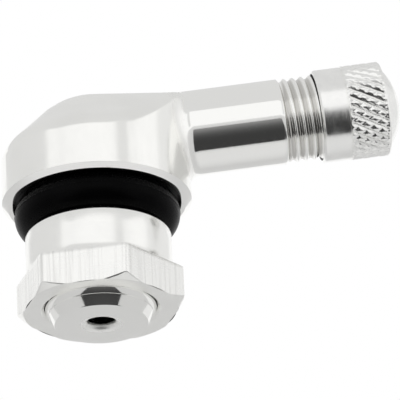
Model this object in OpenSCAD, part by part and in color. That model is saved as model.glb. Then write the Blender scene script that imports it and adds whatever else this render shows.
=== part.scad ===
// Angled tubeless tyre valve: one-piece elbow with a tilted stem and a threaded stud, rubber rim seal,
// flange nut, spring-loaded valve core and screwed dust cap. All sizes are in millimetres.
// The origin lies on the stud's axis in the rim seat plane. +Z leaves the rim and +X follows the stem.

/* [Head] */
// Diameter of the head's round wall
head_d = 17.1; // [16.8:0.1:19]
// Width of the bevel around the rim seat
rim_bevel_width = 0.55; // [0.3:0.05:0.75]
// Height of the bevel around the rim seat
rim_bevel_height = 0.4; // [0.2:0.05:0.6]
// Slope of the roof between the wall and the crown, in degrees
roof_slope = 46; // [42:1:50]
// Height of the bevel between the wall and the roof, below their shared edge
edge_bevel = 0.5; // [0.2:0.1:0.9]
// Half width of the crown at its edge
crown_half = 4.6; // [4.2:0.1:5]
// Radius of the crown's curve
crown_r = 8.7; // [8:0.1:12]
// Cover of the crown over the stem, measured on the stud's axis
crown_cover = 0.4; // [0.3:0.1:1]

/* [Stem] */
// Diameter of the plain stem
stem_d = 7.8; // [7.8:0.1:8.2]
// Tilt of the stem above the rim seat plane, in degrees
stem_tilt = 7; // [3:1:10]
// Height of the stem's axis above the rim seat, on the stud's axis
stem_height = 6; // [5.8:0.1:6.6]
// Length of the stem from the stud's axis to its mouth
stem_length = 25.2; // [24.8:0.1:29]
// Diameter of the cap thread over its crests
cap_thread_d = 7.7; // [7.4:0.1:7.7]
// Length of the cap thread back from the mouth
cap_thread_length = 8; // [7:0.1:9]
// Pitch of the cap thread
cap_thread_pitch = 0.794; // [0.7:0.002:0.9]
// Depth of the cap thread
cap_thread_depth = 0.26; // [0.1:0.02:0.4]
// Chamfer at the stem's mouth
mouth_chamfer = 0.4; // [0.2:0.1:0.6]

/* [Stud] */
// Diameter of the stud thread over its crests
stud_d = 10; // [9.6:0.1:10]
// Length of the stud below the rim seat
stud_length = 11.66; // [11.5:0.1:14]
// Length of the stud thread up from its chamfers
stud_thread_length = 10.2; // [6:0.1:10.8]
// Pitch of the stud thread
stud_thread_pitch = 1; // [0.75:0.05:1.25]
// Depth of the stud thread
stud_thread_depth = 0.5; // [0.2:0.05:0.6]
// Width of the stud's outer chamfer
stud_chamfer_outer = 0.25; // [0.2:0.05:0.4]
// Height of the stud's outer chamfer
stud_outer_height = 0.5; // [0.3:0.05:0.6]
// Width of the ledge between the stud's two chamfers
stud_ledge = 0.1; // [0.05:0.05:0.2]
// Width of the stud's inner chamfer
stud_chamfer_inner = 0.45; // [0.2:0.05:0.6]
// Height of the stud's inner chamfer
stud_inner_height = 0.95; // [0.6:0.05:1.1]
// Diameter of the air hole
air_hole_d = 2.5; // [2:0.1:3]
// Rounding of the air hole's rim
air_hole_edge_r = 0.55; // [0.2:0.05:0.6]

/* [Seal] */
// Diameter of the recess that holds the seal
recess_d = 15.16; // [14.6:0.02:15.4]
// Depth of the recess in the head
recess_depth = 0.9; // [0.6:0.1:1.4]
// Height of the seal ring
seal_height = 3.84; // [3.4:0.02:4.2]
// Gap between the seal and the recess wall
seal_gap = 0.12; // [0.06:0.02:0.3]
// Play between the seal and the stud
seal_play = 0.1; // [0.06:0.02:0.2]

/* [Flange nut] */
// Diameter of the round collar
collar_d = 13.16; // [12.4:0.02:13.2]
// Height of the round collar
collar_height = 4.05; // [3:0.05:5]
// Width of the hexagon across flats
hex_across_flats = 13.4; // [13.4:0.1:13.8]
// Height of the hexagon
hex_height = 3.32; // [2.4:0.02:4.2]
// Diameter over the trimmed corners of the hexagon
hex_corner_d = 15.3; // [15:0.1:15.4]
// Width of the hexagon's end chamfer at its corners
hex_chamfer_width = 0.7; // [0.4:0.05:0.9]
// Angle of the hexagon's end chamfer, in degrees
hex_chamfer_angle = 34; // [15:1:40]
// Turn of the hexagon about the stud, in degrees
hex_turn = 46; // [0:1:60]
// Width of the countersink in the nut's end
countersink = 0.32; // [0.2:0.02:0.5]
// Edge chamfer at the top of the collar
collar_chamfer = 0.25; // [0.1:0.05:0.5]

/* [Dust cap] */
// Length of the cap from its mouth to the start of its dome
cap_length = 6.16; // [5.8:0.02:7.4]
// Wall of the cap at its grip band, outside the cap thread's play
cap_wall = 0.4; // [0.36:0.02:0.8]
// Length of the grip band
grip_length = 3.56; // [2:0.02:4.6]
// Step down from the grip band to the plain sleeve
sleeve_step = 0.06; // [0.02:0.02:0.1]
// Bevel at the cap's mouth
cap_bevel = 0.25; // [0.1:0.05:0.3]
// Thickness of the cap's end between its bore and its rim
cap_end_wall = 0.72; // [0.5:0.02:1]
// Height of the cap's domed end
dome_height = 1.44; // [1.2:0.02:1.8]
// Width of the flat rim around the dome
dome_rim = 0.5; // [0.3:0.05:0.8]
// Thickness of the rubber liner in the cap
liner_thickness = 0.6; // [0.4:0.05:0.8]

/* [Valve core] */
// Diameter of the threaded core bore
core_bore_d = 5.24; // [5:0.02:5.4]
// Depth of the threaded core bore from the mouth
core_bore_depth = 7.8; // [7.4:0.1:8.6]
// Length of the tapered seat
seat_length = 3; // [2.4:0.1:3.4]
// Diameter of the passage below the seat
passage_d = 4.2; // [4.1:0.05:4.4]
// Length of the core plug
plug_length = 6.4; // [6:0.1:6.6]
// Depth of the plug below the mouth
plug_depth = 0.6; // [0.3:0.1:0.8]
// Width of the plug's driving flats
plug_flat = 2.4; // [2:0.1:2.4]
// Length of the plug's driving flats
plug_flat_length = 3; // [2:0.1:3.6]
// Diameter of the hollow in the plug
plug_hollow_d = 2.6; // [2.5:0.05:3]
// Thickness of the plug's bridge
bridge_thickness = 1.2; // [0.8:0.1:1.6]
// Diameter of the core barrel
barrel_d = 3.4; // [3.3:0.05:3.5]
// Length of the core barrel
barrel_length = 9; // [8.6:0.1:9.4]
// Diameter of the barrel's flange
barrel_flange_d = 4.4; // [4:0.1:4.8]
// Thickness of the barrel's flange
barrel_flange = 0.5; // [0.3:0.1:0.6]
// Diameter of the spring chamber in the barrel
chamber_d = 2.2; // [2.1:0.05:2.4]
// Thickness of the barrel's lower wall
barrel_floor = 1.4; // [1:0.1:1.8]
// Diameter of the port in the barrel's lower wall
port_d = 1.8; // [1.7:0.05:1.9]
// Distance of the barrel gasket below the start of the seat
gasket_set = 0.2; // [0.1:0.05:0.4]
// Length of the barrel gasket
gasket_length = 2.1; // [1.6:0.1:2.3]
// Diameter of the core pin
pin_d = 1.1; // [0.9:0.05:1.1]
// Depth of the pin's tip below the mouth
pin_depth = 0.2; // [0.1:0.05:0.5]
// Thickness of the pin's spring collar
pin_collar = 0.5; // [0.3:0.1:0.6]
// Wire thickness of the spring
spring_wire = 0.26; // [0.2:0.02:0.3]
// Number of turns in the spring
spring_turns = 6; // [5:1:8]
// Diameter of the seal cup
cup_d = 3.5; // [3.3:0.05:3.5]
// Height of the seal cup
cup_height = 2; // [1.6:0.1:2.2]
// Wall of the seal cup
cup_wall = 0.3; // [0.2:0.05:0.35]
// Thickness of the seal cup's floor
cup_floor = 0.5; // [0.4:0.1:0.7]
// Height by which the rubber stands out of the seal cup
core_seal_rise = 0.46; // [0.3:0.02:0.6]

/* [Fits] */
// Radial play in a screwed fit
thread_play = 0.05; // [0.03:0.01:0.08]
// Radial play of the pin and its collar in their guides
slide_play = 0.08; // [0.05:0.01:0.1]
// Gap between faces that rest on each other
rest_gap = 0.02; // [0.01:0.01:0.04]

/* [Hidden] */
$fn = 96;
cut_over = 1;
head_r = head_d / 2;
stem_r = stem_d / 2;
cap_thread_r = cap_thread_d / 2;
stud_r = stud_d / 2;
air_hole_r = air_hole_d / 2;
recess_r = recess_d / 2;
// Share of a thread's pitch that is left as a flat crest
crest_share = 0.25;

// Roof outline, from the crown down to the wall
head_height = stem_height + stem_r + crown_cover;
crown_edge_z = head_height - crown_r + sqrt(pow(crown_r, 2) - pow(crown_half, 2));
wall_edge_z = crown_edge_z - (head_r - crown_half) * tan(roof_slope);
bevel_rise = tan((90 + roof_slope) / 2);
bevel_start_z = wall_edge_z - edge_bevel;
bevel_width = edge_bevel / (bevel_rise - tan(roof_slope));
bevel_end_z = bevel_start_z + bevel_width * bevel_rise;
roof_over = 0.5;

// Stem stations, measured along the stem from the stud's axis
thread_start_s = stem_length - cap_thread_length;
thread_step = stem_r - cap_thread_r;
cap_thread_turns = floor((cap_thread_length - mouth_chamfer) / cap_thread_pitch - crest_share);
thread_end_s = thread_start_s + cap_thread_turns * cap_thread_pitch;
core_bore_r = core_bore_d / 2;
passage_r = passage_d / 2;
seat_top_s = stem_length - core_bore_depth;
seat_end_s = seat_top_s - seat_length;
seat_slope = (core_bore_r - passage_r) / seat_length;

// Stud and seal heights
stud_end_z = -stud_length;
stud_inner_z = stud_end_z + stud_inner_height;
stud_outer_z = stud_inner_z + stud_outer_height;
stud_thread_turns = floor(stud_thread_length / stud_thread_pitch);
stud_thread_end_z = stud_outer_z + stud_thread_turns * stud_thread_pitch;
stud_ring_r = stud_r - stud_chamfer_outer;
stud_step_r = stud_ring_r - stud_ledge;
stud_face_r = stud_step_r - stud_chamfer_inner;
seal_top_z = recess_depth - rest_gap;
seal_bottom_z = seal_top_z - seal_height;
seal_inner_r = stud_r + seal_play;
seal_outer_r = recess_r - seal_gap;
seal_round_r = seal_height / 2;

// Nut heights
nut_top_z = seal_bottom_z - rest_gap;
hex_top_z = nut_top_z - collar_height;
nut_end_z = hex_top_z - hex_height;
nut_bore_r = stud_r + thread_play;
collar_r = collar_d / 2;
hex_corner_r = hex_corner_d / 2;
hex_face_r = hex_corner_r - hex_chamfer_width;
hex_chamfer_height = hex_chamfer_width * tan(hex_chamfer_angle);
hex_sides = 6;
hex_sharp_r = hex_across_flats / 2 / cos(180 / hex_sides);

// Cap stations along the stem
liner_start_s = stem_length + rest_gap;
liner_end_s = liner_start_s + liner_thickness;
cap_bore_end_s = liner_end_s + rest_gap;
dome_start_s = cap_bore_end_s + cap_end_wall;
cap_mouth_s = dome_start_s - cap_length;
grip_start_s = dome_start_s - grip_length;
cap_bore_r = cap_thread_r + thread_play;
cap_r = cap_bore_r + cap_wall;
sleeve_r = cap_r - sleeve_step;
dome_base_r = cap_r - dome_rim;
dome_r = (pow(dome_base_r, 2) + pow(dome_height, 2)) / (2 * dome_height);
liner_r = cap_bore_r - rest_gap;

// Core stations along the stem
plug_top_s = stem_length - plug_depth;
plug_end_s = plug_top_s - plug_length;
plug_r = core_bore_r - thread_play;
barrel_top_s = plug_end_s - rest_gap;
barrel_end_s = barrel_top_s - barrel_length;
barrel_r = barrel_d / 2;
chamber_r = chamber_d / 2;
chamber_end_s = barrel_end_s + barrel_floor;
gasket_top_s = seat_top_s - gasket_set;
gasket_end_s = gasket_top_s - gasket_length;
pin_r = pin_d / 2;
pin_tip_s = stem_length - pin_depth;
collar_top_s = barrel_top_s - barrel_flange;
collar_end_s = collar_top_s - pin_collar;
pin_collar_r = chamber_r - slide_play;
spring_top_s = collar_end_s - rest_gap;
spring_end_s = chamber_end_s + rest_gap;
spring_length = spring_top_s - spring_end_s;
spring_outer_r = chamber_r - slide_play;
spring_pitch = (spring_length - spring_wire) / spring_turns;
spring_sector = 360 * spring_wire / spring_pitch;
spring_facets = 5;
spring_slices = 14 * spring_turns;
spring_twist = -360 * spring_turns;
spring_segments = 6;
core_seal_top_s = barrel_end_s - rest_gap;
cup_top_s = core_seal_top_s - core_seal_rise;
cup_end_s = cup_top_s - cup_height;
cup_r = cup_d / 2;
cup_hollow_r = cup_r - cup_wall;
core_seal_r = cup_hollow_r - rest_gap;
core_seal_end_s = cup_end_s + cup_floor + rest_gap;
pin_end_s = cup_end_s - cup_floor / 2;

// Places its children on the stem: local +Z runs along the stem from the stud's axis
module on_stem() {
    translate([0, 0, stem_height])
        rotate([0, 90 - stem_tilt, 0])
            children();
}

// A turned ring between two stations
module ring(outer_r, inner_r, from, to) {
    difference() {
        translate([0, 0, from])
            cylinder(r = outer_r, h = to - from);
        translate([0, 0, from - cut_over])
            cylinder(r = inner_r, h = to - from + 2 * cut_over);
    }
}

// Half of the head's section: bevel, roof and crown, a little wider than the wall that trims it
module roof_half() {
    intersection() {
        polygon([
            [0, 0],
            [head_r + roof_over, 0],
            [head_r + roof_over, bevel_start_z - roof_over * bevel_rise],
            [head_r - bevel_width, bevel_end_z],
            [0, crown_edge_z + crown_half * tan(roof_slope)]
        ]);
        union() {
            translate([0, head_height - crown_r])
                circle(r = crown_r);
            translate([0, -cut_over])
                square([head_d, crown_edge_z - roof_over + cut_over]);
        }
    }
}

// Roof that goes round the back as a cone and runs straight on to the stem at the front
module roof_block() {
    intersection() {
        rotate_extrude()
            roof_half();
        translate([-2 * head_r, -2 * head_r, -cut_over])
            cube([2 * head_r, 4 * head_r, head_height + 2 * cut_over]);
    }
    rotate([90, 0, 90])
        linear_extrude(height = head_r + roof_over)
            union() {
                roof_half();
                mirror([1, 0])
                    roof_half();
            }
}

// Roof trimmed by the head's round wall, which is bevelled towards the rim seat
module head_block() {
    intersection() {
        roof_block();
        rotate_extrude()
            polygon([
                [0, 0],
                [head_r - rim_bevel_width, 0],
                [head_r, rim_bevel_height],
                [head_r, head_height + cut_over],
                [0, head_height + cut_over]
            ]);
    }
}

// Outline of a thread drawn as rings: a flat crest and a vee for each turn
function thread_rings(r, depth, pitch, turns, from) = [
    for (turn = [0 : turns - 1], step = [[0, 0], [0, crest_share], [depth, (1 + crest_share) / 2]])
        [r - step[0], from + (turn + step[1]) * pitch]
];

// Outside of the stem with the cap thread and its chamfered mouth
module stem_outside() {
    rotate_extrude()
        polygon(concat(
            [[0, 0], [stem_r, 0], [stem_r, thread_start_s - thread_step]],
            thread_rings(cap_thread_r, cap_thread_depth, cap_thread_pitch, cap_thread_turns, thread_start_s),
            [
                [cap_thread_r, thread_end_s],
                [cap_thread_r, stem_length - mouth_chamfer],
                [cap_thread_r - mouth_chamfer, stem_length],
                [0, stem_length]
            ]
        ));
}

// Threaded stud with two stepped chamfers at its end
module stud_outside() {
    rotate_extrude()
        polygon(concat(
            [
                [0, stud_end_z],
                [stud_face_r, stud_end_z],
                [stud_step_r, stud_inner_z],
                [stud_ring_r, stud_inner_z]
            ],
            thread_rings(stud_r, stud_thread_depth, stud_thread_pitch, stud_thread_turns, stud_outer_z),
            [
                [stud_r, stud_thread_end_z],
                [stud_r, recess_depth + cut_over],
                [0, recess_depth + cut_over]
            ]
        ));
}

// Bore for the core, its tapered seat and the passage back to the stud's axis
module stem_passage() {
    rotate_extrude()
        polygon([
            [0, -air_hole_r],
            [passage_r, -air_hole_r],
            [passage_r, seat_end_s],
            [core_bore_r, seat_top_s],
            [core_bore_r, stem_length + cut_over],
            [0, stem_length + cut_over]
        ]);
}

// Air hole from the stud's end, with a rounded rim
module air_hole() {
    translate([0, 0, stud_end_z - cut_over])
        cylinder(r = air_hole_r, h = stem_height - stud_end_z + cut_over);
    translate([0, 0, stud_end_z])
        rotate_extrude()
            difference() {
                translate([0, -cut_over])
                    square([air_hole_r + air_hole_edge_r, air_hole_edge_r + cut_over]);
                translate([air_hole_r + air_hole_edge_r, air_hole_edge_r])
                    circle(r = air_hole_edge_r);
            }
}

// One-piece body: head, stem and stud with the air passages through them
module elbow_body() {
    color("silver")
        difference() {
            union() {
                difference() {
                    head_block();
                    translate([0, 0, -cut_over])
                        cylinder(r = recess_r, h = recess_depth + cut_over);
                }
                stud_outside();
                on_stem()
                    stem_outside();
            }
            on_stem()
                stem_passage();
            air_hole();
        }
}

// Rubber ring with a half-round outer face that stands out of the head's recess
module seal_ring() {
    color("dimgray")
        translate([0, 0, seal_top_z - seal_round_r])
            rotate_extrude()
                union() {
                    translate([seal_outer_r - seal_round_r, 0])
                        intersection() {
                            circle(r = seal_round_r);
                            translate([0, -seal_round_r])
                                square([seal_round_r, seal_height]);
                        }
                    translate([seal_inner_r, -seal_round_r])
                        square([seal_outer_r - seal_round_r - seal_inner_r, seal_height]);
                }
}

// Nut with a round collar that presses the seal and a hexagon with trimmed corners
module flange_nut() {
    color("gainsboro")
        difference() {
            union() {
                rotate_extrude()
                    polygon([
                        [0, hex_top_z],
                        [collar_r, hex_top_z],
                        [collar_r, nut_top_z - collar_chamfer],
                        [collar_r - collar_chamfer, nut_top_z],
                        [0, nut_top_z]
                    ]);
                intersection() {
                    translate([0, 0, nut_end_z])
                        rotate([0, 0, hex_turn])
                            cylinder(r = hex_sharp_r, h = hex_height, $fn = hex_sides);
                    rotate_extrude()
                        polygon([
                            [0, nut_end_z],
                            [hex_face_r, nut_end_z],
                            [hex_corner_r, nut_end_z + hex_chamfer_height],
                            [hex_corner_r, hex_top_z],
                            [0, hex_top_z]
                        ]);
                }
            }
            translate([0, 0, nut_end_z - cut_over])
                cylinder(r = nut_bore_r, h = nut_top_z - nut_end_z + 2 * cut_over);
            translate([0, 0, nut_end_z])
                cylinder(r1 = nut_bore_r + countersink, r2 = nut_bore_r, h = countersink);
            translate([0, 0, nut_top_z - countersink])
                cylinder(r1 = nut_bore_r, r2 = nut_bore_r + countersink, h = countersink);
        }
}

// Dust cap with a plain sleeve, a grip band and a domed end
module cap_shell() {
    color("silver")
        on_stem()
            difference() {
                union() {
                    rotate_extrude()
                        polygon([
                            [0, cap_mouth_s],
                            [sleeve_r - cap_bevel, cap_mouth_s],
                            [sleeve_r, cap_mouth_s + cap_bevel],
                            [sleeve_r, grip_start_s],
                            [cap_r, grip_start_s],
                            [cap_r, dome_start_s],
                            [0, dome_start_s]
                        ]);
                    rotate_extrude()
                        intersection() {
                            translate([0, dome_start_s + dome_height - dome_r])
                                circle(r = dome_r);
                            translate([0, dome_start_s])
                                square([dome_base_r, dome_height]);
                        }
                }
                translate([0, 0, cap_mouth_s - cut_over])
                    cylinder(r = cap_bore_r, h = cap_bore_end_s - cap_mouth_s + cut_over);
            }
}

// Rubber disc in the cap that closes on the stem's mouth
module cap_liner() {
    color("dimgray")
        on_stem()
            translate([0, 0, liner_start_s])
                cylinder(r = liner_r, h = liner_thickness);
}

// Threaded plug with two driving flats and a bridge that guides the pin
module core_plug() {
    color("goldenrod")
        on_stem()
            difference() {
                translate([0, 0, plug_end_s])
                    cylinder(r = plug_r, h = plug_length);
                translate([0, 0, plug_end_s - cut_over])
                    cylinder(r = plug_hollow_d / 2, h = plug_length - bridge_thickness + cut_over);
                translate([0, 0, plug_top_s - bridge_thickness - cut_over])
                    cylinder(r = pin_r + slide_play, h = bridge_thickness + 2 * cut_over);
                for (side = [0, 180])
                    rotate([0, 0, side])
                        translate([plug_flat / 2, -plug_r - cut_over, plug_top_s - plug_flat_length])
                            cube([plug_r + cut_over, 2 * (plug_r + cut_over), plug_flat_length + cut_over]);
            }
}

// Barrel that hangs below the plug and houses the spring
module core_barrel() {
    color("darkgoldenrod")
        on_stem()
            difference() {
                union() {
                    translate([0, 0, barrel_end_s])
                        cylinder(r = barrel_r, h = barrel_length);
                    translate([0, 0, barrel_top_s - barrel_flange])
                        cylinder(r = barrel_flange_d / 2, h = barrel_flange);
                }
                translate([0, 0, chamber_end_s])
                    cylinder(r = chamber_r, h = barrel_length);
                translate([0, 0, barrel_end_s - cut_over])
                    cylinder(r = port_d / 2, h = barrel_floor + 2 * cut_over);
            }
}

// Tapered gasket on the barrel that closes on the stem's seat
module core_gasket() {
    color("white")
        on_stem()
            rotate_extrude()
                polygon([
                    [barrel_r + rest_gap, gasket_end_s],
                    [core_bore_r - (seat_top_s - gasket_end_s) * seat_slope - rest_gap, gasket_end_s],
                    [core_bore_r - (seat_top_s - gasket_top_s) * seat_slope - rest_gap, gasket_top_s],
                    [barrel_r + rest_gap, gasket_top_s]
                ]);
}

// Pin that opens the valve when it is pressed, with a collar for the spring
module core_pin() {
    color("goldenrod")
        on_stem()
            union() {
                translate([0, 0, pin_end_s])
                    cylinder(r = pin_r, h = pin_tip_s - pin_end_s);
                translate([0, 0, collar_end_s])
                    cylinder(r = pin_collar_r, h = pin_collar);
            }
}

// Direction of one point of the spring's section
function spring_ray(k) = [cos(k * spring_sector / spring_facets), sin(k * spring_sector / spring_facets)];

// Section of the spring across the stem: a short piece of a thin ring
module spring_section() {
    inner_r = spring_outer_r - spring_wire;
    polygon(concat(
        [for (k = [0 : spring_facets]) spring_outer_r * spring_ray(k)],
        [for (k = [spring_facets : -1 : 0]) inner_r * spring_ray(k)]
    ));
}

// Flat-wire spring between the barrel's lower wall and the pin's collar
module core_spring() {
    color("lightgray")
        on_stem()
            translate([0, 0, spring_end_s])
                linear_extrude(height = spring_length, twist = spring_twist, slices = spring_slices,
                               $fn = spring_segments)
                    spring_section();
}

// Cup on the pin's inner end that carries the sealing rubber
module core_cup() {
    color("goldenrod")
        on_stem()
            difference() {
                ring(cup_r, pin_r + rest_gap, cup_end_s, cup_top_s);
                translate([0, 0, cup_end_s + cup_floor])
                    cylinder(r = cup_hollow_r, h = cup_height);
            }
}

// Rubber in the cup that closes on the barrel's lower end
module core_seal() {
    color("dimgray")
        on_stem()
            ring(core_seal_r, pin_r + rest_gap, core_seal_end_s, core_seal_top_s);
}

elbow_body();
seal_ring();
flange_nut();
cap_shell();
cap_liner();
core_plug();
core_barrel();
core_gasket();
core_pin();
core_spring();
core_cup();
core_seal();
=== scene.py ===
"""Looks of the angled tyre valve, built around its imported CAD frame."""
import math

import bpy
import numpy as np
from mathutils import Matrix, Vector


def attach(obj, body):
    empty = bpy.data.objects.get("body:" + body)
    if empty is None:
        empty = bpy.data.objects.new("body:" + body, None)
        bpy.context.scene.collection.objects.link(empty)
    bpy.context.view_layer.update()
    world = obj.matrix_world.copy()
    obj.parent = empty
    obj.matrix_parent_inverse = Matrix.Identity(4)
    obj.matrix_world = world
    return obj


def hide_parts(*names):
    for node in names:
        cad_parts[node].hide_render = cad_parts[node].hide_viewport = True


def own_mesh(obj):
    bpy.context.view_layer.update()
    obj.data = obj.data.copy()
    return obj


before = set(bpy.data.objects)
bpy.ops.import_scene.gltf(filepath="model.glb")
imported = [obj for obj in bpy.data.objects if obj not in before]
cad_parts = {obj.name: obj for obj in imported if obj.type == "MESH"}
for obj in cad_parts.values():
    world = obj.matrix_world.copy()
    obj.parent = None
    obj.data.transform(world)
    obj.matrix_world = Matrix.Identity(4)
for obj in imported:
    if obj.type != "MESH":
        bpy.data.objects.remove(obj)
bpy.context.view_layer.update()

# Lengths are in millimetres, except where a heading says metres
MM = 0.001
TINY = 0.001
SHARP_ANGLE = math.radians(32)

# Threads
PITCH_STEM = 0.794
PITCH_STUD = 1.0
CREST_POWER = 1.3
STUD_FADE = 1.2
STEM_FADE = 0.45

# Head
HEAD_R = 8.55
RIM_BEVEL_WIDTH = 0.55
RIM_BEVEL_HEIGHT = 0.4
ROOF_SLOPE = math.radians(46)
CROWN_HALF = 4.6
CROWN_EDGE_Z = 8.984
CROWN_R = 8.7
HEAD_TOP = 10.3
WALL_ROOF_ROUND = 0.55
CROWN_ROUND = 0.35
CROWN_REACH = 5.1
ROOT_FILLET = 1.0
ROOT_FILLET_TOP = 0.15
FILLET_FADE = (0.35, 0.9)
RECESS_R = 7.58
RECESS_DEPTH = 0.9

# Stem, stations along its axis
STEM_TILT = math.radians(7)
STEM_FOOT = np.array([0.0, 0.0, 6.0])
STEM_R = 3.9
STEM_END_S = 25.2
THREAD_START_S = 17.2
THREAD_ROOT_R = 3.59
THREAD_CREST_R = 3.85
THREAD_SHIFT = 0.15
THREAD_EDGE = 0.15
MOUTH_CHAMFER = 0.4
BORE_CHAMFER = 0.2
CORE_BORE_R = 2.62
SEAT_TOP_S = 17.4
SEAT_END_S = 14.4
PASSAGE_R = 2.1
BEND_START_Z = 1.4
BEND_END_S = 3.9

# Stud
STUD_CREST_R = 4.99
STUD_ROOT_R = 4.45
STUD_RING_R = 4.75
STUD_STEP_R = 4.65
STUD_FACE_R = 4.2
STUD_FACE_ROW_R = 3.0
STUD_END_Z = -11.66
STUD_INNER_HEIGHT = 0.95
STUD_OUTER_HEIGHT = 0.5
AIR_HOLE_R = 1.25
AIR_EDGE_R = 0.55

# Nut, its turns in degrees
NUT_TOP_Z = -2.98
HEX_TOP_Z = -7.03
NUT_END_Z = -10.35
COLLAR_R = 6.58
COLLAR_CHAMFER = 0.25
HEX_HALF = 6.7
HEX_CORNER_R = 7.65
HEX_FACE_R = 6.95
HEX_CHAMFER = math.radians(34)
HEX_SOFT = 0.025
HEX_FLAT_TURN = 16
HALF_SECTOR = 30
FLAT_SPREAD = 25
CORNER_TURNS = (26.4, 27.6, 28.3, 28.65, 28.87, 29.1, 29.5)
NUT_BORE_R = 5.05
NUT_THREAD_R = 5.34
COUNTERSINK = 0.32

# Seal
SEAL_INNER_R = 5.1
SEAL_ROUND_R = 1.92
SEAL_ROUND_C = (5.54, -1.04)
SEAL_EDGE = 0.12
SEAM_HEIGHT = 0.03
SEAM_ANGLE = math.radians(1.6)

# Dust cap, stations along the stem
CAP_MOUTH_S = 20.4
CAP_BORE_END_S = 25.84
CAP_BORE_R = 3.9
CAP_END_ROW_R = 2.0
SLEEVE_R = 4.24
CAP_BEVEL = 0.25
GRIP_R = 4.3
GRIP_START_S = 23.0
GRIP_END_S = 26.56
GRIP_EDGE = 0.1
DOME_BASE_R = 3.8
DOME_HEIGHT = 1.44
KNURL_COUNT = 31
KNURL_LEAD = 1.45
KNURL_DEPTH = 0.2
KNURL_CROSS = 0.5
KNURL_WIDTH = 0.36
KNURL_POWER = 1.2

# Core spring, stations along the stem
SPRING_END_S = 10.6
SPRING_TOP_S = 17.16
SPRING_R = 0.89
SPRING_WIRE_R = 0.13
SPRING_TURNS = 7
SPRING_DEAD_TURNS = 0.8
DEAD_TURN_RISE = 2.15

# Rows and columns of points, and how those of the head are found
ELBOW_COLUMNS = 188
HEAD_ROWS = 156
HEAD_START_S = 9.9
HEAD_END_Z = 0.65
HEAD_LEVELS = np.linspace(-1.7, 2.6, 420)
COLUMN_CROWDING = 0.55
PATH_STEPS = 400
RAY_LENGTH = 120.0
RAY_HALVINGS = 44
STUD_ROWS_PER_TURN = 10
COVERED_ROWS_PER_TURN = 13
OPEN_ROWS_PER_TURN = 24
NUT_ROWS_PER_TURN = 8
AIR_EDGE_ROWS = 9
AIR_HOLE_ROWS = 5
BEND_STEPS = 15
PLAIN_STEM_ROWS = 8
PLAIN_STEM_END_S = 10.3
FLAT_COLUMNS = 14
FLAT_ROWS = 6
CHAMFER_ROWS = 26
SEAL_COLUMNS = 160
SEAL_ROWS = 61
COLUMNS_PER_KNURL = 12
GRIP_ROWS = 64
DOME_ROWS = 22
SPRING_STEPS = 240
WIRE_COLUMNS = 12

STEM_AXIS = np.array([math.cos(STEM_TILT), 0.0, math.sin(STEM_TILT)])
STEM_TOP = np.array([-math.sin(STEM_TILT), 0.0, math.cos(STEM_TILT)])
STEM_SIDE = np.array([0.0, -1.0, 0.0])


# Rings of points. The small steps in the profiles soften edges or set a row close to an edge

def even_turns(columns):
    """Angles evenly spaced round an axis."""
    return np.arange(columns) * 2 * np.pi / columns


def stem_ring(s, r, turn):
    """Points round the stem's axis at station s. The turn starts at the top and goes to the camera's side."""
    r = np.broadcast_to(np.asarray(r, float), turn.shape)
    across = np.cos(turn)[:, None] * STEM_TOP + np.sin(turn)[:, None] * STEM_SIDE
    return STEM_FOOT + s * STEM_AXIS + r[:, None] * across


def axis_ring(z, r, turn):
    """Points round the stud's axis at height z. The turn starts on the stem's side."""
    r = np.broadcast_to(np.asarray(r, float), turn.shape)
    return np.stack([r * np.cos(turn), r * np.sin(turn), np.full(turn.shape, float(z))], axis=1)


def stud_ring(z, r, turn):
    """Points round the stud's axis at height z. The turn starts at the back of the head."""
    return axis_ring(z, -np.asarray(r, float), turn)


def turned_rings(ring, profile, turn):
    """Rings of a turned profile, given as pairs of a radius and a place along the axis."""
    return [ring(place, r, turn) for r, place in profile]


def smooth(low, high, value):
    """Zero at low, one at high, with a soft start and end."""
    t = np.clip((value - low) / (high - low), 0, 1)
    return t * t * (3 - 2 * t)


def thread_radius(along, turn, pitch, root, crest, fade):
    """Radius of a right-handed thread with rounded crests and broader rounded grooves."""
    height = (1 - np.cos(2 * np.pi * along / pitch - turn)) / 2
    return root + (crest - root) * fade * height ** CREST_POWER


def make_piece(name, rings, material, pole_start=None, pole_end=None):
    """Joins rings of equal length into one closed mesh. Without poles the last ring joins the first."""
    rings = np.asarray(rings, float)
    count, columns = rings.shape[:2]
    points = rings.reshape(-1, 3)
    looped = pole_start is None and pole_end is None
    starts = np.arange(count if looped else count - 1)
    row = np.repeat(starts, columns) * columns
    next_row = (np.repeat(starts, columns) + 1) % count * columns
    column = np.tile(np.arange(columns), len(starts))
    next_column = (column + 1) % columns
    squares = (row + column, row + next_column, next_row + next_column, next_row + column)
    faces = np.stack(squares, axis=1).tolist()
    for pole, ring, flip in ((pole_start, 0, True), (pole_end, count - 1, False)):
        if pole is None:
            continue
        tip = len(points)
        points = np.vstack([points, pole])
        for c in range(columns):
            edge = [ring * columns + c, ring * columns + (c + 1) % columns]
            faces.append([tip] + (edge[::-1] if flip else edge))
    corners = [(f[0], f[a], f[a + 1]) for f in faces for a in range(1, len(f) - 1)]
    triangles = points[np.array(corners)]
    volume = np.einsum("ij,ij->i", triangles[:, 0], np.cross(triangles[:, 1], triangles[:, 2])).sum()
    if volume < 0:
        faces = [f[::-1] for f in faces]
    mesh = bpy.data.meshes.new(name)
    mesh.from_pydata((points * MM).tolist(), [], faces)
    mesh.materials.append(material)
    mesh.polygons.foreach_set("use_smooth", [True] * len(faces))
    mesh.set_sharp_from_angle(angle=SHARP_ANGLE)
    mesh.update()
    piece = bpy.data.objects.new(name, mesh)
    bpy.context.scene.collection.objects.link(piece)
    return piece


# Elbow body

def round_both(a, b, r):
    """Inside both shapes, with their shared edge rounded."""
    return np.minimum(-r, np.maximum(a, b)) + np.hypot(np.maximum(r + a, 0), np.maximum(r + b, 0))


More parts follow.
